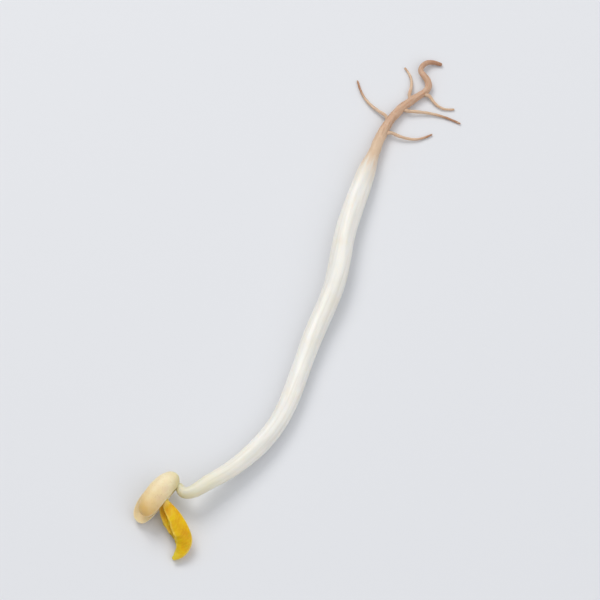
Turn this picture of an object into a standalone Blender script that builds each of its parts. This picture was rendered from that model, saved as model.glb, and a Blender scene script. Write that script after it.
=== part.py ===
"""A mung bean sprout lying on a table, in metres with +Z up.

The sprout is a seedling of separate organs. A white stem, the hypocotyl, runs in one bow from
the root collar to a hook. A tan taproot with fine side roots follows the collar. The hook holds
two seed halves, the cotyledons, and a short upper stem between them, the epicotyl, carries two
folded yellow leaves.

Routes are drawn in millimetres in a frame of their own, on the table below the start of the
hook. The finished sprout is then moved so that its origin lies on the table under the middle
of its box, with its length along Y.
"""

import math

import bmesh
import bpy
import numpy as np
from mathutils import Matrix, Vector

MM = 0.001
NEIGHBOUR_GAP = 0.3  # mm left between two organs that meet
SHORT_STEP = 0.01  # share of a route between the points that give its direction

# Each stop on a stem or a root is x, y, z and the diameter there, in mm.
STEM_STOPS = (
    (22.80, 48.50, 1.12, 1.50),
    (22.15, 46.60, 1.18, 2.15),
    (21.00, 43.10, 1.32, 2.58),
    (19.15, 36.50, 1.72, 2.68),
    (17.85, 29.60, 1.80, 2.64),
    (15.40, 22.90, 1.45, 2.56),
    (13.15, 16.40, 1.25, 2.46),
    (10.80, 10.20, 1.30, 2.36),
    (7.15, 5.40, 1.55, 2.22),
    (3.80, 2.38, 2.05, 2.05),
    (1.90, 0.95, 2.48, 1.88),
    (0.75, 0.05, 2.72, 1.72),
    (-0.20, -0.42, 2.78, 1.56),
    (-0.93, -0.34, 2.60, 1.38),
    (-1.22, 0.06, 2.38, 1.26),
)
STEM_SPACING = 0.75
HOOK_SPACING = 0.35  # the stem's last stretch bends too tightly for the wider spacing
HOOK_LENGTH = 5.0

TAPROOT_STOPS = (
    (22.95, 48.90, 1.08, 1.42),
    (23.80, 51.30, 0.88, 1.32),
    (25.10, 53.80, 0.74, 1.18),
    (26.90, 55.90, 0.64, 1.06),
    (28.80, 57.40, 0.58, 0.94),
    (29.90, 58.60, 0.62, 0.86),
    (29.60, 59.80, 0.80, 0.80),
    (28.95, 60.90, 0.84, 0.74),
    (29.50, 62.00, 0.66, 0.66),
    (30.80, 62.30, 0.42, 0.56),
    (31.70, 62.05, 0.28, 0.42),
)
TAPROOT_SPACING = 0.45

# Where each side root leaves the taproot, which side it takes, its length and how it swings.
SIDE_ROOTS = (
    {"at": 0.16, "side": -1, "length": 5.2, "swing": 0.9},
    {"at": 0.27, "side": 1, "length": 6.4, "swing": -0.8},
    {"at": 0.40, "side": -1, "length": 6.8, "swing": -0.6},
    {"at": 0.50, "side": 1, "length": 4.2, "swing": 0.7},
    {"at": 0.60, "side": -1, "length": 3.6, "swing": 0.8},
)
SIDE_ROOT_DIAMETERS = (0.44, 0.24)
SIDE_ROOT_STEPS = 12
SIDE_ROOT_ANGLE = math.radians(62)
SIDE_ROOT_REST = 0.2  # mm, the height at which a side root's far end runs
SIDE_ROOT_SWING_TURN = math.radians(162)  # how much of a half wave the swing goes through

EPICOTYL_STOPS = (
    (-1.56, 0.66, 2.36, 0.66),
    (-1.95, 0.78, 2.37, 0.66),
    (-2.40, 0.42, 2.36, 0.62),
    (-2.82, -0.20, 2.28, 0.56),
)
EPICOTYL_SPACING = 0.2

# Seed halves: length, width and depth in mm. The base is the end by the hook, heading and pitch
# say where the length points, and roll turns the half about its length.
UPPER_HALF = {
    "size": (6.9, 2.9, 1.35),
    "base": (-1.85, 2.08, 2.90),
    "heading": 233.5,
    "pitch": -3.0,
    "roll": 8.0,
}
LOWER_HALF = {
    "size": (7.0, 2.9, 1.30),
    "base": (-2.25, 1.85, 1.87),
    "heading": 230.5,
    "pitch": -7.4,
    "roll": -4.0,
}
HALF_BOW = 0.34  # mm, how far the inner side of a half is hollowed along its length
HALF_RIM = 0.16  # mm, the depth of the rounding between the dome and the inner face
HALF_RIM_FULLNESS = 0.4  # below 1, the rounding turns in quickly
HALF_HOLLOW = 0.30  # mm, how far the inner face is cupped around the upper stem
HALF_BLUNTNESS = 2.6  # above 2, the ends are blunter than an ellipse's
HALF_SEGMENTS = (20, 18)

# Each stop on a leaf's midrib is x, y, z and the width of the folded blade there, in mm.
UPPER_LEAF_STOPS = (
    (-3.30, -0.80, 2.36, 0.50),
    (-2.63, -1.50, 2.36, 1.05),
    (-1.74, -2.50, 2.38, 1.60),
    (-0.86, -3.75, 2.24, 2.00),
    (-0.10, -5.25, 1.92, 2.15),
    (0.16, -6.50, 1.56, 2.08),
    (-0.20, -7.60, 1.20, 1.88),
    (-1.00, -8.50, 0.90, 1.50),
    (-2.10, -8.95, 0.70, 0.85),
)
LOWER_LEAF_STOPS = (
    (-3.35, -1.00, 1.84, 0.50),
    (-2.75, -1.80, 1.66, 1.35),
    (-2.00, -2.75, 1.42, 1.85),
    (-1.20, -3.90, 1.10, 1.95),
    (-0.55, -5.20, 0.70, 1.70),
    (-0.35, -6.40, 0.38, 1.55),
    (-0.70, -7.40, 0.27, 1.35),
    (-1.40, -8.20, 0.25, 1.10),
    (-2.15, -8.60, 0.24, 0.70),
)
LEAF_HALF_THICKNESS = (0.13, 0.36)  # mm, at the ends and in the middle
LEAF_GROOVE = 0.34  # how deep the fold is open between the margins, as a share of the width
LEAF_GROOVE_SPREAD = 0.42  # radians of the section that the groove takes up each side
LEAF_BLUNTNESS = 4.0  # above 2, the ends are blunter than an ellipse's
LEAF_SEGMENTS = (20, 22)

ROUND_END_ANGLES = (25, 48, 66, 80)  # degrees along the dome that closes a free end
STEM_BEVEL_RESOLUTION = 6
ROOT_BEVEL_RESOLUTION = 4
SIDE_ROOT_BEVEL_RESOLUTION = 2


def clear_scene():
    for thing in list(bpy.data.objects):
        bpy.data.objects.remove(thing, do_unlink=True)


def plant_material(name, colour, roughness):
    material = bpy.data.materials.new(name)
    material.use_nodes = True
    shader = material.node_tree.nodes["Principled BSDF"]
    shader.inputs["Base Color"].default_value = (*colour, 1.0)
    shader.inputs["Roughness"].default_value = roughness
    shader.inputs["Metallic"].default_value = 0.0
    material.diffuse_color = (*colour, 1.0)
    return material


def stem_white():
    return plant_material("stem_white", (0.86, 0.85, 0.80), 0.35)


def root_tan():
    return plant_material("root_tan", (0.60, 0.40, 0.27), 0.60)


def seed_cream():
    return plant_material("seed_cream", (0.72, 0.55, 0.25), 0.45)


def epicotyl_pale():
    return plant_material("epicotyl_pale", (0.74, 0.71, 0.42), 0.40)


def leaf_yellow():
    return plant_material("leaf_yellow", (0.82, 0.55, 0.03), 0.45)


def bends(knots, values):
    """Second derivatives at the knots of the natural cubic spline through the values."""
    gaps = np.diff(knots)
    slopes = np.diff(values, axis=0) / gaps[:, None]
    count = len(knots)
    system = np.eye(count)
    right = np.zeros_like(values)
    for i in range(1, count - 1):
        system[i, i - 1 : i + 2] = gaps[i - 1], 2 * (gaps[i - 1] + gaps[i]), gaps[i]
        right[i] = 6 * (slopes[i] - slopes[i - 1])
    return np.linalg.solve(system, right)


def smooth_line(stops, places):
    """Points on a smooth curve through the stops, at these shares of its length, 0 to 1."""
    values = np.array(stops, dtype=float)
    chords = np.linalg.norm(np.diff(values[:, :3], axis=0), axis=1)
    knots = np.concatenate([[0.0], np.cumsum(chords)])
    curvature = bends(knots, values)
    line = []
    for place in np.asarray(places) * knots[-1]:
        i = min(max(np.searchsorted(knots, place) - 1, 0), len(chords) - 1)
        gap = chords[i]
        left = (knots[i + 1] - place) / gap
        right = (place - knots[i]) / gap
        line.append(
            left * values[i]
            + right * values[i + 1]
            + ((left**3 - left) * curvature[i] + (right**3 - right) * curvature[i + 1])
            * gap**2
            / 6
        )
    return np.array(line)


def length_of(stops):
    return float(np.linalg.norm(np.diff(np.array(stops)[:, :3], axis=0), axis=1).sum())


def even_places(length, spacing):
    return np.linspace(0.0, 1.0, round(length / spacing) + 1)


def unit(vector):
    return vector / np.linalg.norm(vector)


def round_end(line):
    """The line with a dome of shrinking points after its last one."""
    last = line[-1]
    direction = unit(last[:3] - line[-2][:3])
    dome = []
    for angle in map(math.radians, ROUND_END_ANGLES):
        centre = last[:3] + direction * last[3] / 2 * math.sin(angle)
        dome.append([*centre, last[3] * math.cos(angle)])
    return np.vstack([line, dome])


def add_tube(name, line, bevel_resolution, material):
    """A round tube along the line, whose points are x, y, z and diameter in mm."""
    curve = bpy.data.curves.new(name, "CURVE")
    curve.dimensions = "3D"
    curve.bevel_depth = MM / 2
    curve.bevel_resolution = bevel_resolution
    curve.use_fill_caps = True
    route = curve.splines.new("POLY")
    route.use_smooth = True
    route.points.add(len(line) - 1)
    for point, (x, y, z, diameter) in zip(route.points, line):
        point.co = (x * MM, y * MM, z * MM, 1.0)
        point.radius = diameter
    curve.materials.append(material)
    tube = bpy.data.objects.new(name, curve)
    bpy.context.scene.collection.objects.link(tube)
    return tube


def add_reshaped_sphere(name, segments, reshape, material):
    """A closed organ made from a sphere by moving each of its corners with the reshape function."""
    shape = bmesh.new()
    bmesh.ops.create_uvsphere(shape, u_segments=segments[0], v_segments=segments[1], radius=1.0)
    for corner in shape.verts:
        corner.co = reshape(corner.co)
    mesh = bpy.data.meshes.new(name)
    shape.to_mesh(mesh)
    shape.free()
    mesh.shade_smooth()
    mesh.materials.append(material)
    organ = bpy.data.objects.new(name, mesh)
    bpy.context.scene.collection.objects.link(organ)
    return organ


def add_hypocotyl(material):
    """The white stem, from the root collar to the tip of its hook, flat at both ends."""
    length = length_of(STEM_STOPS)
    hook_start = 1.0 - HOOK_LENGTH / length
    shaft = even_places(length - HOOK_LENGTH, STEM_SPACING) * hook_start
    hook = hook_start + even_places(HOOK_LENGTH, HOOK_SPACING)[1:] * (1.0 - hook_start)
    line = smooth_line(STEM_STOPS, np.concatenate([shaft, hook]))
    return add_tube("hypocotyl", line, STEM_BEVEL_RESOLUTION, material)


def taproot_line(places):
    return smooth_line(TAPROOT_STOPS, places)


def add_taproot(material):
    """The main root, tapering from the collar to a curled, rounded tip."""
    line = taproot_line(even_places(length_of(TAPROOT_STOPS), TAPROOT_SPACING))
    return add_tube("taproot", round_end(line), ROOT_BEVEL_RESOLUTION, material)


def add_side_root(number, at, side, length, swing, material):
    """A fine root that leaves the taproot sideways and settles on the table."""
    before, start, after = taproot_line([at - SHORT_STEP, at, at + SHORT_STEP])
    forward = after[:3] - before[:3]
    forward[2] = 0.0
    forward = unit(forward)
    sideways = np.array([-forward[1], forward[0], 0.0]) * side
    out = forward * math.cos(SIDE_ROOT_ANGLE) + sideways * math.sin(SIDE_ROOT_ANGLE)
    swing_way = np.cross(out, (0.0, 0.0, 1.0))
    thick, thin = SIDE_ROOT_DIAMETERS
    edge = thick / 2 * math.cos(SIDE_ROOT_ANGLE)
    clear = (start[3] / 2 + NEIGHBOUR_GAP + edge) / math.sin(SIDE_ROOT_ANGLE)
    line = []
    for share in np.linspace(0.0, 1.0, SIDE_ROOT_STEPS):
        centre = start[:3] + out * (clear + share * length)
        centre = centre + swing_way * swing * math.sin(share * SIDE_ROOT_SWING_TURN)
        centre[2] = SIDE_ROOT_REST + (start[2] - SIDE_ROOT_REST) * (1.0 - share) ** 2
        line.append([*centre, thick + (thin - thick) * share])
    name = f"lateral_root_{number}"
    return add_tube(name, round_end(np.array(line)), SIDE_ROOT_BEVEL_RESOLUTION, material)


def add_epicotyl(material):
    """The short upper stem between the seed halves."""
    places = even_places(length_of(EPICOTYL_STOPS), EPICOTYL_SPACING)
    line = round_end(smooth_line(EPICOTYL_STOPS, places))
    return add_tube("epicotyl", line, ROOT_BEVEL_RESOLUTION, material)


def half_frame(half, faces_down):
    """Where a seed half lies: X along it, Z out of its dome, the origin at its base."""
    heading = math.radians(half["heading"])
    pitch = math.radians(half["pitch"])
    level = Vector((math.cos(heading), math.sin(heading), 0.0))
    along = level * math.cos(pitch) + Vector((0.0, 0.0, math.sin(pitch)))
    across = Vector((0.0, 0.0, 1.0)).cross(along).normalized()
    upright = along.cross(across)
    roll = Matrix.Rotation(math.radians(half["roll"]), 3, along)
    across, upright = roll @ across, roll @ upright
    if faces_down:
        across, upright = -across, -upright
    frame = Matrix((along, across, upright)).transposed().to_4x4()
    frame.translation = Vector(half["base"]) * MM
    return frame


def add_cotyledon(name, half, faces_down, material):
    """One seed half: a dome on a cupped face, blunt at both ends and bowed on the hook's side."""
    length, width, depth = half["size"]
    hook_side = -1.0 if faces_down else 1.0

    def half_bean(corner):
        across, out, along = corner
        ring = math.hypot(across, out)
        if ring < 1e-6:
            across, out = 0.0, 0.0
        else:
            across, out = across / ring, out / ring
        reach = (1.0 - abs(along) ** HALF_BLUNTNESS) ** (1.0 / HALF_BLUNTNESS)
        x = length * (1.0 + along) / 2
        y = width / 2 * reach * across - hook_side * HALF_BOW * (1.0 - along**2)
        if out > 0.0:
            z = depth * reach * out
        else:
            rim = HALF_RIM * reach * abs(out) ** HALF_RIM_FULLNESS
            z = HALF_HOLLOW * (reach * out) ** 2 - rim
        return Vector((x, y, z)) * MM

    cotyledon = add_reshaped_sphere(name, HALF_SEGMENTS, half_bean, material)
    cotyledon.matrix_world = half_frame(half, faces_down)
    return cotyledon


def add_leaf(name, stops, material):
    """A folded leaf lying on its side: the midrib is its outer edge, the margins its inner one."""
    thin, thick = LEAF_HALF_THICKNESS

    def folded_blade(corner):
        share = (1.0 + corner.z) / 2
        places = [max(share - SHORT_STEP, 0.0), share, min(share + SHORT_STEP, 1.0)]
        before, here, after = smooth_line(stops, places)
        forward = unit(after[:3] - before[:3])
        inward = unit(np.cross(forward, (0.0, 0.0, 1.0)))
        upward = np.cross(inward, forward)
        ring = math.hypot(corner.x, corner.y)
        angle = math.atan2(corner.y, corner.x) if ring > 1e-6 else 0.0
        reach = (1.0 - abs(corner.z) ** LEAF_BLUNTNESS) ** (1.0 / LEAF_BLUNTNESS)
        from_margin = math.pi - abs(angle)
        groove = LEAF_GROOVE * math.exp(-((from_margin / LEAF_GROOVE_SPREAD) ** 2))
        in_by = here[3] * ((1.0 - math.cos(angle) * reach) / 2 - groove * reach)
        up_by = (thin + (thick - thin) * math.sin(math.pi * share)) * math.sin(angle) * reach
        return Vector(here[:3] + inward * in_by + upward * up_by) * MM

    return add_reshaped_sphere(name, LEAF_SEGMENTS, folded_blade, material)


def stand_on_origin(organs):
    """Carries the organs on an empty that puts their box's bottom centre on the origin."""
    bpy.context.view_layer.update()
    graph = bpy.context.evaluated_depsgraph_get()
    corners = []
    for organ in organs:
        shown = organ.evaluated_get(graph)
        mesh = shown.to_mesh()
        corners += [shown.matrix_world @ vertex.co for vertex in mesh.vertices]
        shown.to_mesh_clear()
    low = [min(corner[i] for corner in corners) for i in range(3)]
    high = [max(corner[i] for corner in corners) for i in range(3)]
    sprout = bpy.data.objects.new("sprout", None)
    bpy.context.scene.collection.objects.link(sprout)
    sprout.location = (-(low[0] + high[0]) / 2, -(low[1] + high[1]) / 2, -low[2])
    for organ in organs:
        organ.parent = sprout


def build():
    clear_scene()
    white = stem_white()
    tan = root_tan()
    cream = seed_cream()
    yellow = leaf_yellow()
    organs = [add_hypocotyl(white), add_taproot(tan), add_epicotyl(epicotyl_pale())]
    for number, root in enumerate(SIDE_ROOTS, start=1):
        organs.append(add_side_root(number, **root, material=tan))
    organs.append(add_cotyledon("cotyledon_upper", UPPER_HALF, False, cream))
    organs.append(add_cotyledon("cotyledon_lower", LOWER_HALF, True, cream))
    organs.append(add_leaf("primary_leaf_upper", UPPER_LEAF_STOPS, yellow))
    organs.append(add_leaf("primary_leaf_lower", LOWER_LEAF_STOPS, yellow))
    stand_on_origin(organs)


build()
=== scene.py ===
"""The looks of a mung bean sprout lying on a pale table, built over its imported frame, in metres.

Every organ's route is drawn in millimetres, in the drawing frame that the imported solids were
drawn in. drawing_shift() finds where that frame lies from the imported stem's box, and add_piece()
moves each organ there. Lengths without a unit are millimetres. A share runs from 0 to 1, and a
seed fixes a random pattern.
"""

import math

import bpy
import numpy as np
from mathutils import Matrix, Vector, noise


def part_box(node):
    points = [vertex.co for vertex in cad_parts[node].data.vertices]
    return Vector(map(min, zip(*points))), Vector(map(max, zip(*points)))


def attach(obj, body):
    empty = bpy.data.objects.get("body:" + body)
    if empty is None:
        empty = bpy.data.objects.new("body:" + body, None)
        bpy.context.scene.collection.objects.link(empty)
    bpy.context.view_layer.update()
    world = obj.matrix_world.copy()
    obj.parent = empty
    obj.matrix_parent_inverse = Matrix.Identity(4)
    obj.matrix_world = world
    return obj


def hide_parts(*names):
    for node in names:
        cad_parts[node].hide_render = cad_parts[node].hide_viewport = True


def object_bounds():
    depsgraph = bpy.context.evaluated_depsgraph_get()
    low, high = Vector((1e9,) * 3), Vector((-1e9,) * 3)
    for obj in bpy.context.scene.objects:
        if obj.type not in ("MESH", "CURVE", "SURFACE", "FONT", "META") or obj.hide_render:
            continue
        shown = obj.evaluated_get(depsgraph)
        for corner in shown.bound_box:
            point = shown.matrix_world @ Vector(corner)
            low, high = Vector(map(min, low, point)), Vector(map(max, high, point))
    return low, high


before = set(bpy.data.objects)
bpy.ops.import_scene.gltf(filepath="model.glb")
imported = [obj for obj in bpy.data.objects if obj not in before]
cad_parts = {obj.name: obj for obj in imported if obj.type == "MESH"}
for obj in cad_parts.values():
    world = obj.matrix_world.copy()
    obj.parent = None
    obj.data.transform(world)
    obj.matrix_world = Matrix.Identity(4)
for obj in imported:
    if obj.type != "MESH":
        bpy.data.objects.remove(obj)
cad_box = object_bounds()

MM = 0.001
UP = np.array((0.0, 0.0, 1.0))
SHORT_STEP = 0.01  # share of a route between the points that give its direction
BOX_STEPS = 401  # points on the stem's line that its drawn box is measured from
TABLE_SKIN = 0.004  # nothing dips below this height above the table

# ---------------------------------------------------------------- routes

# Each stop on a stem or a root is x, y, z and the diameter there.
STEM_STOPS = (
    (22.80, 48.50, 1.12, 1.50),
    (22.15, 46.60, 1.18, 2.15),
    (21.00, 43.10, 1.32, 2.58),
    (19.15, 36.50, 1.72, 2.68),
    (17.85, 29.60, 1.80, 2.64),
    (15.40, 22.90, 1.45, 2.56),
    (13.15, 16.40, 1.25, 2.46),
    (10.80, 10.20, 1.30, 2.36),
    (7.15, 5.40, 1.55, 2.22),
    (3.80, 2.38, 2.05, 2.05),
    (1.90, 0.95, 2.48, 1.88),
    (0.75, 0.05, 2.72, 1.72),
    (-0.20, -0.42, 2.78, 1.56),
    (-0.93, -0.34, 2.60, 1.38),
    (-1.22, 0.06, 2.38, 1.26),
)
TAPROOT_STOPS = (
    (22.95, 48.90, 1.08, 1.42),
    (23.80, 51.30, 0.88, 1.32),
    (25.10, 53.80, 0.74, 1.18),
    (26.90, 55.90, 0.64, 1.06),
    (28.80, 57.40, 0.58, 0.94),
    (29.90, 58.60, 0.62, 0.86),
    (29.60, 59.80, 0.80, 0.80),
    (28.95, 60.90, 0.84, 0.74),
    (29.50, 62.00, 0.66, 0.66),
    (30.80, 62.30, 0.42, 0.56),
    (31.70, 62.05, 0.28, 0.42),
)
# The organs grow into each other, so each visible skin runs on past its solid's ends: the
# stem's along the root and into the seed halves, and the root's into the stem.
COLLAR_END = (
    (23.46, 50.50, 0.94, 1.28),
    (23.12, 49.50, 1.03, 1.38),
)
HOOK_TIP = (
    (-1.46, 0.52, 2.36, 1.12),
    (-1.80, 0.96, 2.37, 0.92),
)
STEM_ROUTE = COLLAR_END + STEM_STOPS + HOOK_TIP
ROOT_IN_STEM = (
    (22.62, 47.90, 1.14, 1.28),
    (22.80, 48.45, 1.11, 1.42),
)
# Each side root leaves the taproot at this share of its length, to its left (1) or its right
# (-1), and swings this far to its own right on the way.
SIDE_ROOTS = (
    {"at": 0.16, "side": -1, "length": 5.2, "swing": 0.9},
    {"at": 0.27, "side": 1, "length": 6.4, "swing": -0.8},
    {"at": 0.40, "side": -1, "length": 6.8, "swing": -0.6},
    {"at": 0.50, "side": 1, "length": 4.2, "swing": 0.7},
    {"at": 0.60, "side": -1, "length": 3.6, "swing": 0.8},
)
SIDE_ROOT_DIAMETERS = (0.44, 0.24)  # at its foot and at its tip
SIDE_ROOT_ANGLE = math.radians(62)  # between it and the taproot
SIDE_ROOT_REST = 0.2  # height of its tip's middle
SIDE_ROOT_SWING_TURN = math.radians(162)  # how much of a wave its swing is
SIDE_ROOT_START_GAP = 0.3  # from the taproot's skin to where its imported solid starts
SIDE_ROOT_FOOT = (1.25, 1.1)  # how many times as thick it is in the taproot and on leaving it
SIDE_ROOT_STEPS = 12  # stops past that gap
SIDE_ROOT_SKIN_LENGTH = 6.0  # what their shared skin takes as a side root's length
SIDE_ROOT_SEED = 40  # the first one's seed is one more

EPICOTYL_STOPS = (
    (-1.62, 0.74, 2.36, 0.76),
    (-1.95, 0.78, 2.37, 0.68),
    (-2.40, 0.42, 2.36, 0.64),
    (-2.82, -0.20, 2.28, 0.58),
    (-2.99, -0.46, 2.24, 0.46),
)
# A seed half's base is its end by the hook. Its angles are in degrees.
UPPER_HALF = {
    "size": (6.9, 2.9, 1.35),
    "base": (-1.85, 2.08, 2.90),
    "heading": 233.5,
    "pitch": -3.0,
    "roll": 8.0,
}
LOWER_HALF = {
    "size": (7.0, 2.9, 1.30),
    "base": (-2.25, 1.85, 1.87),
    "heading": 230.5,
    "pitch": -7.4,
    "roll": -4.0,
}
HALF_BOW = 0.34  # how far its middle bows to the side
HALF_RIM = 0.16  # how far its rim stands out past its widest line
HALF_RIM_FULLNESS = 0.4  # how soon the rim gets there; 1 is slow and 0 is at once
HALF_HOLLOW = 0.30  # how deep its inner face is cupped, measured from the rim
HALF_BLUNTNESS = 2.6  # of both ends, where 2 is an ellipse

# Each stop on a leaf's midrib is x, y, z and the width of the folded blade there.
UPPER_LEAF_STOPS = (
    (-3.30, -0.80, 2.36, 0.50),
    (-2.63, -1.50, 2.36, 1.05),
    (-1.74, -2.50, 2.38, 1.60),
    (-0.86, -3.75, 2.24, 2.00),
    (-0.10, -5.25, 1.92, 2.15),
    (0.16, -6.50, 1.56, 2.08),
    (-0.20, -7.60, 1.20, 1.88),
    (-1.00, -8.50, 0.90, 1.50),
    (-2.10, -8.95, 0.70, 0.85),
)
LOWER_LEAF_STOPS = (
    (-3.35, -1.00, 1.84, 0.50),
    (-2.75, -1.80, 1.66, 1.35),
    (-2.00, -2.75, 1.42, 1.85),
    (-1.20, -3.90, 1.10, 1.95),
    (-0.55, -5.20, 0.70, 1.70),
    (-0.35, -6.40, 0.38, 1.55),
    (-0.70, -7.40, 0.27, 1.35),
    (-1.40, -8.20, 0.25, 1.10),
    (-2.15, -8.60, 0.24, 0.70),
)
# A leaf's stalk starts inside the upper stem and turns into the blade at its second stop.
UPPER_LEAF_ROUTE = (
    (-2.62, -0.15, 2.36, 0.44),
    (-2.92, -0.62, 2.40, 0.46),
    (-2.90, -1.10, 2.38, 0.70),
    *UPPER_LEAF_STOPS[1:],
)
LOWER_LEAF_ROUTE = (
    (-2.66, -0.20, 2.20, 0.44),
    (-3.02, -0.72, 2.02, 0.46),
    (-3.05, -1.25, 1.84, 0.85),
    *LOWER_LEAF_STOPS[1:],
)
LEAF_HALF_THICKNESS = (0.13, 0.36)  # of the folded blade, at its ends and at its middle
LEAF_BLUNTNESS = 4.0  # of its tip, where 2 is an ellipse


def bends(knots, values):
    """Second derivatives at the knots of the natural cubic spline through the values."""
    gaps = np.diff(knots)
    slopes = np.diff(values, axis=0) / gaps[:, None]
    count = len(knots)
    system = np.eye(count)
    right = np.zeros_like(values)
    for i in range(1, count - 1):
        system[i, i - 1 : i + 2] = gaps[i - 1], 2 * (gaps[i - 1] + gaps[i]), gaps[i]
        right[i] = 6 * (slopes[i] - slopes[i - 1])
    return np.linalg.solve(system, right)


def smooth_line(stops, places):
    """Points on a smooth curve through the stops, at these shares of its length, 0 to 1."""
    values = np.array(stops, dtype=float)
    chords = np.linalg.norm(np.diff(values[:, :3], axis=0), axis=1)
    knots = np.concatenate([[0.0], np.cumsum(chords)])
    curvature = bends(knots, values)
    place = np.asarray(places, dtype=float) * knots[-1]
    i = np.clip(np.searchsorted(knots, place) - 1, 0, len(chords) - 1)
    gap = chords[i][:, None]
    left = (knots[i + 1] - place)[:, None] / gap
    right = (place - knots[i])[:, None] / gap
    straight = left * values[i] + right * values[i + 1]
    bent = (left**3 - left) * curvature[i] + (right**3 - right) * curvature[i + 1]
    return straight + bent * gap**2 / 6


def length_of(stops):
    return float(np.linalg.norm(np.diff(np.array(stops)[:, :3], axis=0), axis=1).sum())


def unit(vectors):
    return vectors / np.linalg.norm(vectors, axis=-1, keepdims=True)


def route_frame(line):
    """The way ahead, the way to the left and the way up, at each point of a line."""
    ahead = unit(np.gradient(line[:, :3], axis=0))
    left = unit(np.cross(UP, ahead))
    return ahead, left, np.cross(ahead, left)


def drawing_shift():
    """From the drawing's frame to the row's, in mm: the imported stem's box less the drawn one."""
    line = smooth_line(STEM_STOPS, np.linspace(0.0, 1.0, BOX_STEPS))
    ahead = route_frame(line)[0]
    reach = line[:, 3:] / 2 * np.sqrt(1.0 - ahead**2)
    drawn = ((line[:, :3] - reach).min(0) + (line[:, :3] + reach).max(0)) / 2
    low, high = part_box("hypocotyl")
    return (np.array(low) + np.array(high)) / (2 * MM) - drawn


SHIFT = drawing_shift()

# ---------------------------------------------------------------- meshes


def lofted(rings):
    """Corners and faces of a closed skin over the rings, with a fan over each end."""
    count, around = rings.shape[:2]
    corners = np.vstack([rings.reshape(-1, 3), rings[0].mean(0), rings[-1].mean(0)])
    first, last = count * around, count * around + 1
    faces = []
    for i in range(count - 1):
        for j in range(around):
            k = (j + 1) % around
            faces.append(
                (i * around + j, i * around + k, (i + 1) * around + k, (i + 1) * around + j)
            )
    for j in range(around):
        k = (j + 1) % around
        faces.append((first, k, j))
        faces.append((last, (count - 1) * around + j, (count - 1) * around + k))
    return corners, faces


def with_ends(values):
    """A value for each corner of a lofted skin, from one for each point of its rings."""
    flat = values.reshape(-1, *values.shape[2:])
    return np.concatenate([flat, values[:1].mean(1), values[-1:].mean(1)])


def faces_outward(corners, faces):
    """The faces as they are, or turned over where they look into the skin."""
    volume = 0.0
    for face in faces:
        a, b, c = (corners[i] for i in face[:3])
        volume += a @ np.cross(b, c)
        if len(face) == 4:
            volume += a @ np.cross(c, corners[face[3]])
    return faces if volume > 0.0 else [face[::-1] for face in faces]


def store(mesh, name, values):
    """Keeps one number or one vector for each corner, for the material to read."""
    kind, key = ("FLOAT_VECTOR", "vector") if values.ndim == 2 else ("FLOAT", "value")
    mesh.attributes.new(name, kind, "POINT").data.foreach_set(key, values.astype("f").ravel())


def add_piece(name, shell, material, node):
    """One visible organ from a shell, its rings and values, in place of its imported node."""
    rings, values = shell
    corners, faces = lofted(rings)
    faces = faces_outward(corners, faces)
    place = corners + SHIFT
    place[:, 2] = np.maximum(place[:, 2], TABLE_SKIN)
    mesh = bpy.data.meshes.new(name)
    mesh.from_pydata((place * MM).tolist(), [], faces)
    mesh.shade_smooth()
    for key, value in values.items():
        store(mesh, key, with_ends(value))
    mesh.materials.append(material)
    piece = bpy.data.objects.new(name, mesh)
    bpy.context.scene.collection.objects.link(piece)
    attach(piece, "root")
    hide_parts(node)


def unevenness(angle, along, waves, seed):
    """A smooth pattern round and along a tube: each wave is lobes round, length along, height."""
    chance = np.random.default_rng(seed)
    total = np.zeros(np.broadcast(angle, along).shape)
    for lobes, length, height in waves:
        for twist in (1, -1):
            phase = chance.uniform(0.0, 2.0 * math.pi)
            wave = np.sin(lobes * angle + twist * 2.0 * math.pi * along / length + phase)
            total += height / 2 * wave
    return total


DOME_STEPS = 10  # steps over each dome that closes a tube


def stations(length, spacing, end_radii):
    """Distances along a tube, with closer ones on the domes that close its ends.

    They stop just short of each end, where a ring would shrink to a point.
    """
    dome = 1.0 - np.cos(np.linspace(0.0, math.pi / 2, DOME_STEPS + 1))
    start, end = end_radii[0] * dome, length - end_radii[1] * dome[::-1]
    middle = np.linspace(start[-1], end[0], max(round((end[0] - start[-1]) / spacing), 1) + 1)
    return np.concatenate([start[1:-1], middle, end[1:-1]])


def tube(stops, spacing, around, waves, seed, end_radii, extra=None):
    """Rings of a round organ along its stops, and what its material reads, as one shell.

    fibre is a place on the organ as if it were straight, with its length along Z, and along is
    the distance from its start. extra(angle, along) adds to the unevenness of the radius.
    """
    length = length_of(stops)
    along = stations(length, spacing, end_radii)
    line = smooth_line(stops, along / length)
    _, left, upward = route_frame(line)
    angle = np.linspace(0.0, 2.0 * math.pi, around, endpoint=False)[None, :]
    along = along[:, None]
    from_start = np.clip(1.0 - along / end_radii[0], 0.0, 1.0)
    from_end = np.clip(1.0 - (length - along) / end_radii[1], 0.0, 1.0)
    closing = np.sqrt(1.0 - from_start**2) * np.sqrt(1.0 - from_end**2)
    swelling = 1.0 + unevenness(angle, along, waves, seed)
    if extra is not None:
        swelling = swelling + extra(angle, along)
    radius = line[:, 3:] / 2 * swelling * closing
    across, over = np.cos(angle), np.sin(angle)
    rings = (
        line[:, None, :3]
        + (radius * across)[..., None] * left[:, None]
        + (radius * over)[..., None] * upward[:, None]
    )
    lengthwise = np.broadcast_to(along, radius.shape)
    fibre = np.stack([radius * across, radius * over, lengthwise], axis=-1)
    return rings, {"fibre": fibre, "along": lengthwise}


# ---------------------------------------------------------------- material tools


def screen(red, green, blue):
    """A linear colour, from its red, green and blue as a screen shows them, 0 to 255."""
    shares = [value / 255 for value in (red, green, blue)]
    linear = [s / 12.92 if s <= 0.04045 else ((s + 0.055) / 1.055) ** 2.4 for s in shares]
    return (*linear, 1.0)


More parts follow.
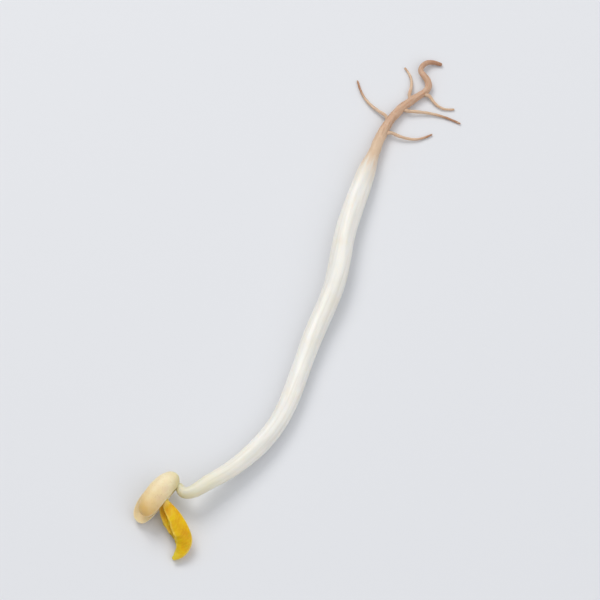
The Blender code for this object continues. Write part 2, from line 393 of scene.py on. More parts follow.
# A Mix node's sockets for colours share their names with those for its other kinds.
MIX_SHARE, MIX_FIRST, MIX_SECOND, MIX_RESULT = 0, 6, 7, 2
FLESH_IOR = 1.42


class Finish:
    """One material, and short names for the nodes that its pattern is made of."""

    def __init__(self, name):
        self.material = bpy.data.materials.new(name)
        self.material.use_nodes = True
        self.tree = self.material.node_tree
        self.shader = self.tree.nodes["Principled BSDF"]

    def node(self, kind, **settings):
        made = self.tree.nodes.new("ShaderNode" + kind)
        for key, value in settings.items():
            setattr(made, key, value)
        return made

    def feed(self, socket, value):
        if isinstance(value, bpy.types.NodeSocket):
            self.tree.links.new(value, socket)
        else:
            socket.default_value = value

    def number(self, name):
        return self.node("Attribute", attribute_name=name).outputs["Fac"]

    def vector(self, name):
        return self.node("Attribute", attribute_name=name).outputs["Vector"]

    def stretched(self, vector, scale):
        made = self.node("Mapping")
        self.feed(made.inputs["Vector"], vector)
        made.inputs["Scale"].default_value = scale
        return made.outputs["Vector"]

    def noise(self, vector, scale, detail=3.0, roughness=0.5, distortion=0.0):
        made = self.node("TexNoise")
        self.feed(made.inputs["Vector"], vector)
        made.inputs["Scale"].default_value = scale
        made.inputs["Detail"].default_value = detail
        made.inputs["Roughness"].default_value = roughness
        made.inputs["Distortion"].default_value = distortion
        return made.outputs["Fac"]

    def cells(self, vector, scale):
        made = self.node("TexVoronoi", feature="SMOOTH_F1")
        self.feed(made.inputs["Vector"], vector)
        made.inputs["Scale"].default_value = scale
        return made.outputs["Distance"]

    def fade(self, value, start, end, low=0.0, high=1.0):
        """low where the value is at start, high where it is at end, and smooth between them."""
        made = self.node("MapRange", interpolation_type="SMOOTHSTEP")
        for key, given in (
            ("Value", value),
            ("From Min", start),
            ("From Max", end),
            ("To Min", low),
            ("To Max", high),
        ):
            self.feed(made.inputs[key], given)
        return made.outputs["Result"]

    def maths(self, operation, first, second=0.0):
        made = self.node("Math", operation=operation)
        self.feed(made.inputs[0], first)
        self.feed(made.inputs[1], second)
        return made.outputs[0]

    def times(self, first, second):
        return self.maths("MULTIPLY", first, second)

    def sway(self, pattern, size):
        """A pattern that runs round 0.5, moved to run round 0 and made this large."""
        return self.times(self.maths("SUBTRACT", pattern, 0.5), size)

    def ramp(self, value, stops):
        """The colour at this value, where each stop is a value from 0 to 1 and a colour."""
        made = self.node("ValToRGB")
        elements = made.color_ramp.elements
        while len(elements) < len(stops):
            elements.new(1.0)
        for element, (place, colour) in zip(elements, stops):
            element.position = place
            element.color = colour
        self.feed(made.inputs["Fac"], value)
        return made.outputs["Color"]

    def mix(self, share, first, second):
        """The first colour turned into the second by this share."""
        made = self.node("Mix", data_type="RGBA")
        self.feed(made.inputs[MIX_SHARE], share)
        self.feed(made.inputs[MIX_FIRST], first)
        self.feed(made.inputs[MIX_SECOND], second)
        return made.outputs[MIX_RESULT]

    def bump(self, height, strength, depth, over=None):
        """Raises the surface by the height, up to this depth in mm, over an earlier bump."""
        made = self.node("Bump")
        made.inputs["Strength"].default_value = strength
        made.inputs["Distance"].default_value = depth * MM
        self.feed(made.inputs["Height"], height)
        if over is not None:
            self.feed(made.inputs["Normal"], over)
        return made.outputs["Normal"]

    def finish(self, colour, roughness, normal, glow_depth, glow_share, glow_tint):
        """Wires the pattern up. Light goes glow_depth mm into the flesh, by colour as tinted."""
        inputs = self.shader.inputs
        self.feed(inputs["Base Color"], colour)
        self.feed(inputs["Roughness"], roughness)
        self.feed(inputs["Normal"], normal)
        self.feed(inputs["Subsurface Weight"], glow_share)
        inputs["Subsurface Radius"].default_value = glow_tint
        inputs["Subsurface Scale"].default_value = glow_depth * MM
        inputs["IOR"].default_value = FLESH_IOR
        return self.material


# ---------------------------------------------------------------- materials

# Shares of the stem and of a root over which the glow comes in, past where the skins meet.
STEM_GLOW_START = (0.042, 0.085)
ROOT_GLOW_START = (0.12, 0.24)


def stem_flesh():
    """Moist white flesh with faint lengthwise fibres, tan at the collar and cream at the hook.

    Light that goes into the flesh would draw a dark line where the skin meets the root's, so
    the glow fades out there, and so do the pale fibres.
    """
    finish = Finish("stem_flesh")
    fibre = finish.vector("fibre")
    share = finish.maths("DIVIDE", finish.number("along"), length_of(STEM_ROUTE))
    patches = finish.noise(fibre, 0.35, detail=2.0)
    streaks = finish.noise(finish.stretched(fibre, (2.6, 2.6, 0.14)), 1.0, detail=5.0)
    wander = finish.sway(patches, 0.03)
    reach = finish.sway(streaks, 0.09)
    colour = finish.ramp(
        finish.maths("ADD", share, finish.maths("ADD", wander, reach)),
        (
            (0.035, screen(218, 189, 159)),
            (0.055, screen(225, 203, 178)),
            (0.082, screen(235, 224, 208)),
            (0.125, screen(242, 239, 232)),
            (0.780, screen(242, 240, 234)),
            (0.880, screen(238, 234, 220)),
            (0.945, screen(230, 224, 194)),
            (1.000, screen(215, 207, 156)),
        ),
    )
    past_collar = finish.fade(share, *STEM_GLOW_START)
    pale = finish.times(finish.fade(streaks, 0.40, 0.66, 0.0, 0.45), past_collar)
    colour = finish.mix(pale, colour, screen(220, 215, 203))
    glassy = finish.noise(finish.stretched(fibre, (0.9, 0.9, 0.10)), 1.0, detail=2.0)
    clear = finish.times(finish.fade(glassy, 0.50, 0.68, 0.0, 0.35), past_collar)
    colour = finish.mix(clear, colour, screen(225, 227, 225))
    colour = finish.mix(finish.fade(patches, 0.50, 0.75, 0.0, 0.30), colour, screen(236, 226, 206))
    # Cycles' denoiser draws thin dark lines where a pattern takes the roughness past 0.27.
    roughness = finish.fade(patches, 0.30, 0.70, 0.30, 0.42)
    fine = finish.noise(finish.stretched(fibre, (9.0, 9.0, 1.2)), 1.0, detail=3.0)
    normal = finish.bump(streaks, 0.55, 0.07)
    normal = finish.bump(fine, 0.25, 0.02, over=normal)
    glow = finish.times(past_collar, 0.65)
    return finish.finish(colour, roughness, normal, 0.8, glow, (1.0, 0.86, 0.68))


def root_skin(name, length, start, middle, tip):
    """Dull tan skin, wrinkled round the root and streaked along it, darker towards its tip.

    Its glow starts past the place where it meets another skin.
    """
    finish = Finish(name)
    fibre = finish.vector("fibre")
    share = finish.maths("DIVIDE", finish.number("along"), length)
    patches = finish.noise(fibre, 1.1, detail=3.0)
    wander = finish.sway(patches, 0.25)
    colour = finish.ramp(
        finish.maths("ADD", share, wander),
        ((0.05, start), (0.35, middle), (0.80, middle), (1.00, tip)),
    )
    streaks = finish.noise(finish.stretched(fibre, (5.0, 5.0, 0.7)), 1.0, detail=4.0)
    streaky = finish.times(
        finish.fade(streaks, 0.45, 0.72, 0.0, 0.55), finish.fade(share, 0.08, 0.24, 0.2)
    )
    colour = finish.mix(streaky, colour, screen(176, 132, 102))
    pale = finish.fade(patches, 0.55, 0.75, 0.0, 0.5)
    colour = finish.mix(pale, colour, screen(226, 202, 178))
    wrinkles = finish.noise(finish.stretched(fibre, (1.4, 1.4, 6.5)), 1.0, detail=3.0)
    roughness = finish.fade(streaks, 0.3, 0.7, 0.45, 0.62)
    normal = finish.bump(streaks, 0.5, 0.05)
    normal = finish.bump(wrinkles, 0.45, 0.04, over=normal)
    glow = finish.fade(share, *ROOT_GLOW_START, 0.0, 0.45)
    return finish.finish(colour, roughness, normal, 0.35, glow, (1.0, 0.66, 0.45))


def seed_flesh(name, body_end, far_end, inner_face):
    """Waxy cream flesh, greenish by the hook, these colours at the far end and the inner face."""
    finish = Finish(name)
    body = finish.vector("body")
    along = finish.number("along")
    out = finish.number("out")
    patches = finish.noise(body, 0.50, detail=3.0, distortion=0.4)
    wander = finish.sway(patches, 0.26)
    colour = finish.ramp(
        finish.maths("ADD", along, wander),
        (
            (0.00, screen(230, 218, 172)),
            (0.18, screen(243, 229, 192)),
            (0.46, screen(240, 222, 180)),
            (0.72, body_end),
            (0.96, far_end),
        ),
    )
    rosy = finish.fade(finish.noise(body, 0.8, detail=2.0), 0.50, 0.72, 0.0, 0.30)
    colour = finish.mix(rosy, colour, screen(230, 198, 166))
    flecks = finish.fade(finish.noise(body, 5.5, detail=4.0), 0.54, 0.70, 0.0, 0.32)
    colour = finish.mix(flecks, colour, screen(212, 180, 128))
    seam = finish.times(finish.fade(out, 0.24, 0.04), finish.fade(out, -0.30, -0.02))
    inner = finish.fade(out, -0.10, -0.35, 0.0, 0.9)
    colour = finish.mix(inner, colour, inner_face)
    colour = finish.mix(finish.times(seam, 0.65), colour, screen(244, 232, 202))
    greenish = finish.fade(finish.number("joint"), 0.25, 0.95, 0.0, 0.80)
    colour = finish.mix(greenish, colour, screen(219, 209, 156))
    roughness = finish.fade(patches, 0.3, 0.7, 0.32, 0.48)
    dimples = finish.cells(body, 3.2)
    grain = finish.noise(finish.stretched(body, (1.2, 5.0, 5.0)), 1.0, detail=4.0)
    normal = finish.bump(dimples, 0.25, 0.05)
    normal = finish.bump(grain, 0.35, 0.05, over=normal)
    return finish.finish(colour, roughness, normal, 0.5, 0.45, (1.0, 0.76, 0.50))


def leaf_blade():
    """A golden blade, deeper in patches, with fine paler veins, a painted rim highlight lightening
    its margins and a green tip.
    """
    finish = Finish("leaf_blade")
    body = finish.vector("body")
    along = finish.number("along")
    inward = finish.number("inward")
    patches = finish.noise(body, 0.75, detail=3.0, distortion=0.4)
    lengthwise = finish.sway(along, 0.16)
    colour = finish.ramp(
        finish.maths("ADD", patches, lengthwise),
        (
            (0.26, screen(216, 150, 0)),
            (0.44, screen(225, 172, 0)),
            (0.58, screen(230, 186, 2)),
            (0.74, screen(236, 204, 14)),
        ),
    )
    greener = finish.noise(body, 1.3, detail=3.0)
    colour = finish.mix(finish.fade(greener, 0.52, 0.72, 0.0, 0.45), colour, screen(204, 176, 20))
    jitter = finish.times(finish.noise(body, 1.6, detail=2.0), 1.1)
    place = finish.maths("FRACT", finish.maths("ADD", finish.number("vein_place"), jitter))
    between = finish.maths("ABSOLUTE", finish.maths("SUBTRACT", place, 0.5))
    vein = finish.times(finish.fade(between, 0.16, 0.0), finish.fade(inward, 0.95, 0.6))
    colour = finish.mix(finish.times(vein, 0.20), colour, screen(246, 220, 70))
    midrib = finish.fade(inward, 0.10, 0.02)
    colour = finish.mix(finish.times(midrib, 0.55), colour, screen(244, 222, 128))
    # Painted highlight: the margins are lightened to stand for light catching the blade's rim.
    margin = finish.fade(inward, 0.84, 0.99)
    colour = finish.mix(finish.times(margin, 0.50), colour, screen(242, 214, 96))
    tip = finish.fade(along, 0.84, 1.0, 0.0, 0.6)
    colour = finish.mix(tip, colour, screen(208, 198, 60))
    stalk = finish.fade(along, 0.20, 0.07, 0.0, 0.9)
    colour = finish.mix(stalk, colour, screen(232, 220, 140))
    roughness = finish.fade(patches, 0.3, 0.7, 0.34, 0.50)
    fine = finish.noise(body, 7.0, detail=4.0)
    normal = finish.bump(vein, 0.5, 0.02)
    normal = finish.bump(fine, 0.35, 0.03, over=normal)
    finish.shader.inputs["Specular IOR Level"].default_value = 0.3
    return finish.finish(colour, roughness, normal, 0.30, 0.40, (1.0, 0.68, 0.10))


def upper_stem_flesh():
    """Pale greenish cream flesh, a little streaked."""
    finish = Finish("upper_stem_flesh")
    fibre = finish.vector("fibre")
    streaks = finish.noise(finish.stretched(fibre, (4.0, 4.0, 0.8)), 1.0, detail=4.0)
    colour = finish.mix(
        finish.fade(streaks, 0.35, 0.70), screen(234, 228, 176), screen(220, 210, 144)
    )
    roughness = finish.fade(streaks, 0.3, 0.7, 0.32, 0.46)
    normal = finish.bump(streaks, 0.4, 0.04)
    return finish.finish(colour, roughness, normal, 0.45, 0.6, (1.0, 0.85, 0.5))


def table_top():
    """A plain pale surface."""
    finish = Finish("table_top")
    inputs = finish.shader.inputs
    inputs["Base Color"].default_value = screen(225, 226, 229)
    inputs["Roughness"].default_value = 0.65
    inputs["Specular IOR Level"].default_value = 0.2
    return finish.material


# ---------------------------------------------------------------- organs

# Each wave is its lobes round the organ, its length along it and its height as a share of the
# radius. 0 lobes is a swelling all round.
STEM_WAVES = (
    (0, 9.0, 0.014),
    (1, 13.0, 0.020),
    (2, 19.0, 0.030),
    (3, 8.0, 0.012),
    (4, 45.0, 0.014),
    (7, 31.0, 0.007),
    (10, 24.0, 0.005),
    (0, 2.3, 0.005),
    (2, 3.1, 0.007),
)
ROOT_WAVES = (
    (0, 3.1, 0.030),
    (1, 2.2, 0.035),
    (2, 5.5, 0.045),
    (3, 2.9, 0.035),
    (5, 6.0, 0.030),
    (0, 0.9, 0.014),
    (4, 1.1, 0.018),
)
FINE_WAVES = (
    (0, 1.3, 0.06),
    (1, 0.9, 0.05),
    (2, 1.7, 0.05),
)
# The creases' depth is a share of the radius.
HOOK_BEND = 2.6  # from the stem's end back to the middle of its hook
HOOK_CREASES = {"depth": 0.035, "spread": 1.1, "spacing": 0.42}
HOOK_FOCUS = 3  # how closely the creases keep to the hook's inner side
COLLAR_BEND = 2.2  # from the stem's start to the middle of its collar
COLLAR_CREASES = {"depth": 0.018, "spread": 1.8, "spacing": 0.55, "slant": 0.8}


def hook_creases(angle, along):
    """Fine cross creases on the inner side of the hook, where it is squeezed."""
    from_bend = length_of(STEM_ROUTE) - along - HOOK_BEND
    in_hook = np.exp(-((from_bend / HOOK_CREASES["spread"]) ** 2))
    inner = ((1.0 - np.cos(angle)) / 2) ** HOOK_FOCUS
    crease = (1.0 + np.sin(2.0 * math.pi * along / HOOK_CREASES["spacing"])) / 2
    return -HOOK_CREASES["depth"] * in_hook * inner * crease


def collar_creases(angle, along):
    """Shallow rings round the collar, where the stem narrows into the root."""
    near = np.exp(-(((along - COLLAR_BEND) / COLLAR_CREASES["spread"]) ** 2))
    turn = 2.0 * math.pi * along / COLLAR_CREASES["spacing"]
    wave = np.sin(turn + COLLAR_CREASES["slant"] * np.sin(angle))
    return COLLAR_CREASES["depth"] * near * wave


def add_stem():
    def creases(angle, along):
        return hook_creases(angle, along) + collar_creases(angle, along)

    shell = tube(
        STEM_ROUTE,
        spacing=0.14,
        around=96,
        waves=STEM_WAVES,
        seed=11,
        end_radii=(1.9, 0.45),
        extra=creases,
    )
    add_piece("stem", shell, stem_flesh(), "hypocotyl")


def add_main_root():
    stops = ROOT_IN_STEM + TAPROOT_STOPS
    shell = tube(
        stops, spacing=0.08, around=40, waves=ROOT_WAVES, seed=23, end_radii=(0.3, 0.2)
    )
    material = root_skin(
        "main_root_skin",
        length=length_of(stops),
        start=screen(222, 194, 164),
        middle=screen(206, 170, 142),
        tip=screen(170, 122, 92),
    )
    add_piece("main_root", shell, material, "taproot")


def side_root_stops(at, side, length, swing):
    """A fine root's stops: out of the taproot sideways, then down to the table."""
    steps = [at - SHORT_STEP, at, at + SHORT_STEP]
    before, start, after = smooth_line(TAPROOT_STOPS, steps)
    forward = after[:3] - before[:3]
    forward[2] = 0.0
    forward = unit(forward)
    sideways = np.array([-forward[1], forward[0], 0.0]) * side
    out = forward * math.cos(SIDE_ROOT_ANGLE) + sideways * math.sin(SIDE_ROOT_ANGLE)
    swing_way = np.cross(out, UP)
    thick, thin = SIDE_ROOT_DIAMETERS
    edge = thick / 2 * math.cos(SIDE_ROOT_ANGLE)
    clear = (start[3] / 2 + SIDE_ROOT_START_GAP + edge) / math.sin(SIDE_ROOT_ANGLE)
    in_root, at_root = SIDE_ROOT_FOOT
    stops = [[*start[:3], thick * in_root], [*(start[:3] + out * clear / 2), thick * at_root]]
    for share in np.linspace(0.0, 1.0, SIDE_ROOT_STEPS):
        centre = start[:3] + out * (clear + share * length)
        centre = centre + swing_way * swing * math.sin(share * SIDE_ROOT_SWING_TURN)
        centre[2] = SIDE_ROOT_REST + (start[2] - SIDE_ROOT_REST) * (1.0 - share) ** 2
        stops.append([*centre, thick + (thin - thick) * share])
    return stops


def add_side_roots():
    material = root_skin(
        "side_root_skin",
        length=SIDE_ROOT_SKIN_LENGTH,
        start=screen(214, 182, 152),
        middle=screen(216, 188, 160),
        tip=screen(178, 134, 102),
    )
    for number, root in enumerate(SIDE_ROOTS, start=1):
        shell = tube(
            side_root_stops(**root),
            spacing=0.06,
            around=20,
            waves=FINE_WAVES,
            seed=SIDE_ROOT_SEED + number,
            end_radii=(0.1, 0.1),
        )
        name, node = f"side_root_{number}", f"lateral_root_{number}"
        add_piece(name, shell, material, node)


def half_axes(half, faces_down):
    """A seed half's ways along it, across it and out of its dome."""
    heading, pitch, roll = (math.radians(half[key]) for key in ("heading", "pitch", "roll"))
    level = np.array((math.cos(heading), math.sin(heading), 0.0))
    along = level * math.cos(pitch) + UP * math.sin(pitch)
    across = unit(np.cross(UP, along))
    upright = np.cross(along, across)
    across, upright = (
        across * math.cos(roll) + upright * math.sin(roll),
        upright * math.cos(roll) - across * math.sin(roll),
    )
    if faces_down:
        across, upright = -across, -upright
    return along, across, upright


SEED_STEPS = (7.3, 3.1, 5.7)  # how far one seed's noise is from the next one's


def rough_field(points, height, size, seed):
    """Smooth noise up to about this height at each point, with lumps of about this size."""
    shift = Vector([seed * step for step in SEED_STEPS])
    flat = points.reshape(-1, 3) / size
    found = [noise.noise(Vector(point) + shift) for point in flat.tolist()]
    return height * np.array(found).reshape(points.shape[:-1])


def grown_onto(points, target, spread, share):
    """The points with the nearest ones drawn towards the target, as flesh grows into a joint."""
    away = target - points
    distance = np.linalg.norm(away, axis=-1)
    weight = np.exp(-(((distance - distance.min()) / spread) ** 2))
    return points + away * (weight * share)[..., None]


HALF_RINGS = 120
HALF_AROUND = 112  # points round each ring
# Unevenness of a half's skin: the height and the size of its lumps, its pits and its folds.
HALF_LUMPS = (0.045, 1.5)
HALF_PITS = (0.018, 0.55)
HALF_FOLDS = (0.022, 0.32)
FOLD_STRETCH = (0.35, 1.0, 1.0)  # the folds run along the half
INNER_CALM = 0.4  # how uneven the inner face is, against the dome
JOINT_PULL = 0.55  # share of the way to the hook that the nearest flesh is drawn
JOINT_SPREAD = 0.50  # how much farther off flesh is drawn too
JOINT_TINT_SPREAD = 1.9  # how far from the hook the flesh is greenish


def half_shell(half, faces_down, seed):
    """Rings of one seed half, and what its material reads."""
    length, width, depth = half["size"]
    hook_side = -1.0 if faces_down else 1.0
    place = np.sin(np.linspace(-1.0, 1.0, HALF_RINGS + 2)[1:-1] * math.pi / 2)[:, None]
    angle = np.linspace(0.0, 2.0 * math.pi, HALF_AROUND, endpoint=False)[None, :]
    across, out = np.cos(angle), np.sin(angle)
    reach = (1.0 - np.abs(place) ** HALF_BLUNTNESS) ** (1.0 / HALF_BLUNTNESS)
    share = (1.0 + place) / 2 * np.ones_like(angle)
    x = length * share
    y = width / 2 * reach * across - hook_side * HALF_BOW * (1.0 - place**2)
    rim = HALF_RIM * reach * np.abs(out) ** HALF_RIM_FULLNESS
    cupped = HALF_HOLLOW * (reach * out) ** 2 - rim
    z = np.where(out > 0.0, depth * reach * out, cupped)
    body = np.stack([x, y, z], axis=-1)
    lumps = rough_field(body, *HALF_LUMPS, seed) + rough_field(body, *HALF_PITS, seed + 1)
    folds = rough_field(body * FOLD_STRETCH, *HALF_FOLDS, seed + 2)
    press = reach * (lumps + folds * np.clip(out, 0.0, 1.0)) * np.where(out > 0.0, 1.0, INNER_CALM)
    y = y + press * across
    z = z + press * np.maximum(out, 0.0)
    along_way, across_way, out_way = half_axes(half, faces_down)
    rings = (
        np.array(half["base"])
        + x[..., None] * along_way
        + y[..., None] * across_way
        + z[..., None] * out_way
    )
    joint = np.array(HOOK_TIP[0][:3])
    rings = grown_onto(rings, joint, JOINT_SPREAD, JOINT_PULL)
    from_joint = np.linalg.norm(rings - joint, axis=-1)
    near_joint = np.exp(-((from_joint / JOINT_TINT_SPREAD) ** 2))
    values = {
        "body": body,
        "along": share,
        "out": out * np.ones_like(place),
        "joint": near_joint,
    }
    return rings, values


def add_seed_halves():
    browned = seed_flesh(
        "seed_flesh_upper",
        body_end=screen(234, 208, 154),
        far_end=screen(224, 187, 116),
        inner_face=screen(232, 208, 152),
    )
    paler = seed_flesh(
        "seed_flesh_lower",
        body_end=screen(240, 221, 182),
        far_end=screen(235, 210, 164),
        inner_face=screen(236, 215, 168),
    )
    upper = half_shell(UPPER_HALF, faces_down=False, seed=3)
    lower = half_shell(LOWER_HALF, faces_down=True, seed=9)
    add_piece("seed_half_upper", upper, browned, "cotyledon_upper")
    add_piece("seed_half_lower", lower, paler, "cotyledon_lower")


LEAF_RINGS = 190
SECTION_OUTER = 26  # points over one half of the folded blade, from its margin to the midrib
SECTION_INNER = 18  # points back inside it, from its margin to the bottom of the fold
BLADE_THICKNESS = (0.085, 0.15)  # at the margins and by the midrib
SKIN_SHARE = 0.8  # the most of the packet's half thickness that a half's flesh takes up
PACKET_RISE = 0.34  # share of the width over which the packet thickens from the midrib
PACKET_FALL = (0.42, 0.42)  # where it starts to thin towards the margins, and how much it does
PACKET_FALL_EASE = 1.5  # how gently the thinning starts
FOLD_ROUNDING = 6.0  # how quickly the fold widens from its bottom
FOLD_START = 0.10  # share of the width where the fold's inside begins
VEIN_SPACING = 0.62
VEIN_SLANT = 1.25  # how far a vein runs ahead, against how far it runs out
QUILT_HEIGHT = 0.030  # how far the blade swells between its veins
# The waves of the margins: how long each is and how far it lifts the margin.
MARGIN_WAVES = ((2.6, 0.055), (1.5, 0.034), (0.8, 0.016))
MARGIN_LIFT = 0.105  # the most that the waves lift a margin together
MARGIN_SWAY = 0.7  # how far they move it sideways, against how far they lift it
SWAY_LENGTH = 0.8  # how long the sideways waves are, against the others
WAVE_FALL = 2.2  # how quickly the waves die away from the margins to the midrib
BLADE_START = (1.0, 2.3)  # along the route, where the stalk starts to open and where it is a blade
TIP_LENGTH = 0.5  # over which the fold closes at the tip
TIP_SHUT = 0.95  # share of the fold's depth that is gone there
LEAF_EASE = 0.9  # keeps the margins from crowding where the midrib bends sharply
STALK_GROOVE = (0.25, 0.10)  # depth and half width of the stalk's groove, as shares of its width


def eased(ways, distance, spread):
    """Directions evened out along a route, each with the ones up to about this far from it."""
    share = np.exp(-(((distance[:, None] - distance) / spread) ** 2)) * np.gradient(distance)
    return unit(share @ ways)


def packet_height(share, thick):
    """Half the folded blade's thickness, at this share of the way from midrib to margins."""
    rise = np.sqrt(1.0 - (1.0 - np.clip(share / PACKET_RISE, 0.0, 1.0)) ** 2)
    start, loss = PACKET_FALL
    fall = 1.0 - loss * np.clip((share - start) / (1.0 - start), 0.0, 1.0) ** PACKET_FALL_EASE
    return thick * rise * fall


def folded_section():
    """The leaf's outline at one station: over one half, round the midrib and back inside.

    Gives each point's share of the way from midrib to margins, which half it is on, 1 or -1,
    and how far it is inside the fold, 0 to 1.
    """
    outer = (1.0 + np.cos(np.linspace(0.0, math.pi, SECTION_OUTER))) / 2
    turn = np.linspace(0.0, math.pi / 2, SECTION_INNER)
    inner = FOLD_START + (1.0 - FOLD_START) * np.sin(turn)
    # Each stretch is its shares from midrib to margins, its half and how far inside it is.
    stretches = (
        (outer, 1.0, 0.0),
        (outer[-2::-1], -1.0, 0.0),
        (np.ones(1), -1.0, 0.5),
        (inner[::-1], -1.0, 1.0),
        (inner[1:], 1.0, 1.0),
        (np.ones(1), 1.0, 0.5),
    )
    across = np.concatenate([shares for shares, _, _ in stretches])
    half = np.concatenate([np.full(len(shares), way) for shares, way, _ in stretches])
    inside = np.concatenate([np.full(len(shares), depth) for shares, _, depth in stretches])
    return across[None, :], half[None, :], inside[None, :]


def margin_waves(distance, half, chance):
    """How far the margins lift and how far they reach out, at each point of the sections."""
    lift = np.zeros(np.broadcast(distance, half).shape)
    reach = np.zeros_like(lift)
    for wave, amount in MARGIN_WAVES:
        for way in (1.0, -1.0):
            phase, other = chance.uniform(0.0, 2.0 * math.pi, 2)
            mine = (half == way) * amount
            turn = 2.0 * math.pi * distance / wave
            lift += mine * np.sin(turn + phase)
            reach += mine * MARGIN_SWAY * np.sin(turn / SWAY_LENGTH + other)
    return lift, reach


def leaf_shell(stops, seed):
    """Rings of one folded leaf: a round grooved stalk that opens into the blade."""
    length = length_of(stops)
    distance = length * np.sin(np.linspace(0.0, math.pi / 2, LEAF_RINGS + 1)[:-1])
    line = smooth_line(stops, distance / length)
    ahead = unit(np.gradient(line[:, :3], axis=0))
    inward = eased(unit(np.cross(ahead, UP)), distance, LEAF_EASE)
    upward = unit(np.cross(inward, ahead))
    distance, width = distance[:, None], line[:, 3:]
    share = distance / length
    opened = np.clip((distance - BLADE_START[0]) / (BLADE_START[1] - BLADE_START[0]), 0.0, 1.0)
    opened = opened**2 * (3.0 - 2.0 * opened)
    tip = np.clip(2.0 * share - 1.0, 0.0, 1.0)
    reach = (1.0 - tip**LEAF_BLUNTNESS) ** (1.0 / LEAF_BLUNTNESS)
    across, half, inside = folded_section()

    fold = (across - FOLD_START) / (1.0 - FOLD_START)
    shut = TIP_SHUT * np.clip((distance - length + TIP_LENGTH) / TIP_LENGTH, 0.0, 1.0)
    across = np.where(inside == 1.0, 1.0 - (1.0 - across) * (1.0 - shut), across)
    thin, thick = LEAF_HALF_THICKNESS
    packet = packet_height(across, thin + (thick - thin) * np.sin(math.pi * share))
    at_margin, at_midrib = BLADE_THICKNESS
    skin = at_midrib + (at_margin - at_midrib) * across
    skin = np.minimum(skin, SKIN_SHARE * packet)
    height = packet - skin * inside
    widening = np.clip(fold * FOLD_ROUNDING, 0.0, 1.0) * (1.0 - shut) + fold * shut
    height = np.where(inside == 1.0, height * widening, height)
    lift, edge = margin_waves(distance, half, np.random.default_rng(seed))
    lift *= np.clip((packet - skin)[:, :1] / MARGIN_LIFT, 0.0, 1.0) * (1.0 - shut)
    outward = across**WAVE_FALL
    vein_place = (distance - VEIN_SLANT * across * width) / VEIN_SPACING
    swelling = np.abs(np.sin(math.pi * vein_place)) * np.sin(math.pi * across)
    quilt = QUILT_HEIGHT * swelling * (1.0 - inside)
    blade_in = width * (0.5 + (across - 0.5) * reach) + edge * outward * reach
    blade_up = ((height + quilt) * half + lift * outward) * reach

    groove_depth, groove_half = STALK_GROOVE
    round_up = np.sqrt(np.clip(across * (1.0 - across), 0.0, None))
    round_up = np.where(across > 0.5, np.maximum(round_up, groove_half), round_up)
    groove_up = groove_half * (1.0 - 0.5 * inside) * fold
    groove_in = 1.0 - groove_depth * (1.0 - np.clip(fold, 0.0, 1.0))
    stalk_in = width * np.where(inside == 1.0, groove_in, across)
    stalk_up = width * np.where(inside > 0.0, groove_up, round_up) * half

    in_by = stalk_in + (blade_in - stalk_in) * opened
    up_by = stalk_up + (blade_up - stalk_up) * opened
    rings = (
        line[:, None, :3]
        + in_by[..., None] * inward[:, None]
        + up_by[..., None] * upward[:, None]
    )
    lengthwise = np.broadcast_to(distance, in_by.shape)
    values = {
        "along": lengthwise / length,
        "inward": across,
        "vein_place": vein_place,
        "body": np.stack([in_by, height * half, lengthwise], axis=-1),
    }
    return rings, values


def add_leaves():
    material = leaf_blade()
    for name, stops, seed in (("upper", UPPER_LEAF_ROUTE, 5), ("lower", LOWER_LEAF_ROUTE, 8)):
        shell = leaf_shell(stops, seed)
        add_piece(f"leaf_{name}", shell, material, f"primary_leaf_{name}")


def add_upper_stem():
    """The epicotyl, from the stem's tip to where the leaf stalks leave it."""
    shell = tube(
        EPICOTYL_STOPS, spacing=0.05, around=32, waves=FINE_WAVES, seed=61, end_radii=(0.2, 0.25)
    )
    add_piece("upper_stem", shell, upper_stem_flesh(), "epicotyl")


# ---------------------------------------------------------------- room, light and camera

TABLE_RADIUS = 2.5  # metres
TABLE_SIDES = 96
# A light's place and size are in metres and its power is in watts.
KEY_LIGHT = {
    "place": (-0.18, 0.33, 0.46),
    "size": 0.32,
    "power": 1.5,
    "colour": (1.0, 0.985, 0.96),
}
FILL_LIGHT = {
    "place": (0.36, -0.30, 0.46),
    "size": 0.60,
    "power": 1.1,
    "colour": (0.97, 0.98, 1.0),
}
SKY_COLOUR = (0.95, 0.97, 1.0, 1.0)
SKY_STRENGTH = (0.28, 0.66)  # at the horizon, and from SKY_RISE up
SKY_RISE = 0.7  # the upward part of a direction there
VIEW_AZIMUTH = 0.0  # degrees; 0 looks along +Y
VIEW_ELEVATION = 62.0
LENS = 400.0  # long enough to show hardly any perspective
SENSOR = 36.0
NEAR_CLIP = 0.01  # metres
FRAME_SHARE = 0.86  # of the frame's height that the sprout takes up


def add_table():
    """A round flat table, wide enough to fill every view."""
    corners = [
        (TABLE_RADIUS * math.cos(turn), TABLE_RADIUS * math.sin(turn), 0.0)
        for turn in np.linspace(0.0, 2.0 * math.pi, TABLE_SIDES, endpoint=False)
    ]
    mesh = bpy.data.meshes.new("table")
    mesh.from_pydata(corners, [], [tuple(range(len(corners)))])
    mesh.materials.append(table_top())
    table = bpy.data.objects.new("table", mesh)
    bpy.context.scene.collection.objects.link(table)


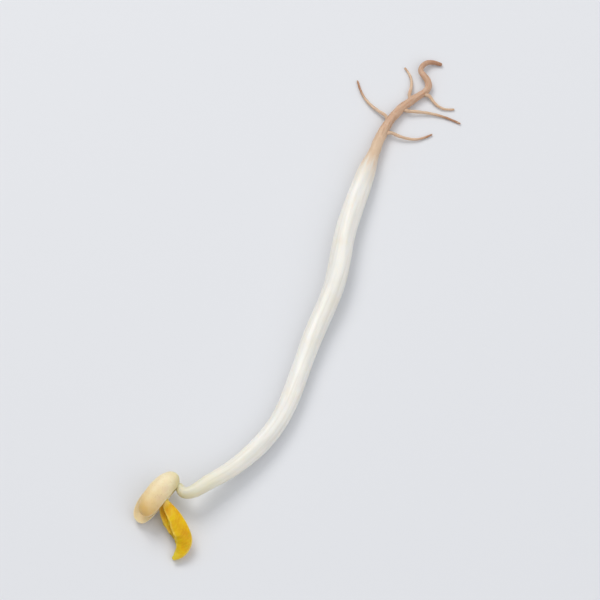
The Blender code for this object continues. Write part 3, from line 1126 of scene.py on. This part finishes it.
def add_soft_light(name, place, size, power, colour):
    """A square soft box of this size in metres at this place in metres, aimed at the sprout."""
    light = bpy.data.lights.new(name, "AREA")
    light.shape = "SQUARE"
    light.size = size
    light.energy = power
    light.color = colour
    lamp = bpy.data.objects.new(name, light)
    lamp.location = place
    lamp.rotation_euler = (-Vector(place)).to_track_quat("-Z", "Y").to_euler()
    bpy.context.scene.collection.objects.link(lamp)


def add_sky():
    """An even soft sky, dimmer towards the horizon so that pale sides stand out."""
    world = bpy.data.worlds.new("studio")
    world.use_nodes = True
    nodes, links = world.node_tree.nodes, world.node_tree.links
    way = nodes.new("ShaderNodeTexCoord")
    parts = nodes.new("ShaderNodeSeparateXYZ")
    rise = nodes.new("ShaderNodeMapRange")
    rise.inputs["From Max"].default_value = SKY_RISE
    rise.inputs["To Min"].default_value, rise.inputs["To Max"].default_value = SKY_STRENGTH
    sky = nodes["Background"]
    sky.inputs["Color"].default_value = SKY_COLOUR
    links.new(way.outputs["Generated"], parts.inputs["Vector"])
    links.new(parts.outputs["Z"], rise.inputs["Value"])
    links.new(rise.outputs["Result"], sky.inputs["Strength"])
    bpy.context.scene.world = world


def add_lights():
    add_soft_light("key", **KEY_LIGHT)
    add_soft_light("fill", **FILL_LIGHT)
    add_sky()
    bpy.context.scene.view_settings.view_transform = "Standard"


def add_camera(low, high):
    azimuth, elevation = math.radians(VIEW_AZIMUTH), math.radians(VIEW_ELEVATION)
    back = Vector(
        (
            math.sin(azimuth) * math.cos(elevation),
            -math.cos(azimuth) * math.cos(elevation),
            math.sin(elevation),
        )
    )
    size = high - low
    shown = size.y * math.sin(elevation) + size.z * math.cos(elevation)
    data = bpy.data.cameras.new("camera")
    data.lens = LENS
    data.sensor_width = SENSOR
    data.clip_start = NEAR_CLIP
    camera = bpy.data.objects.new("camera", data)
    camera.location = (low + high) / 2 + back * (shown / FRAME_SHARE * LENS / SENSOR)
    camera.rotation_euler = (-back).to_track_quat("-Z", "Y").to_euler()
    bpy.context.scene.collection.objects.link(camera)
    bpy.context.scene.camera = camera


add_table()
add_lights()
add_camera(*cad_box)
add_stem()
add_main_root()
add_side_roots()
add_seed_halves()
add_upper_stem()
add_leaves()
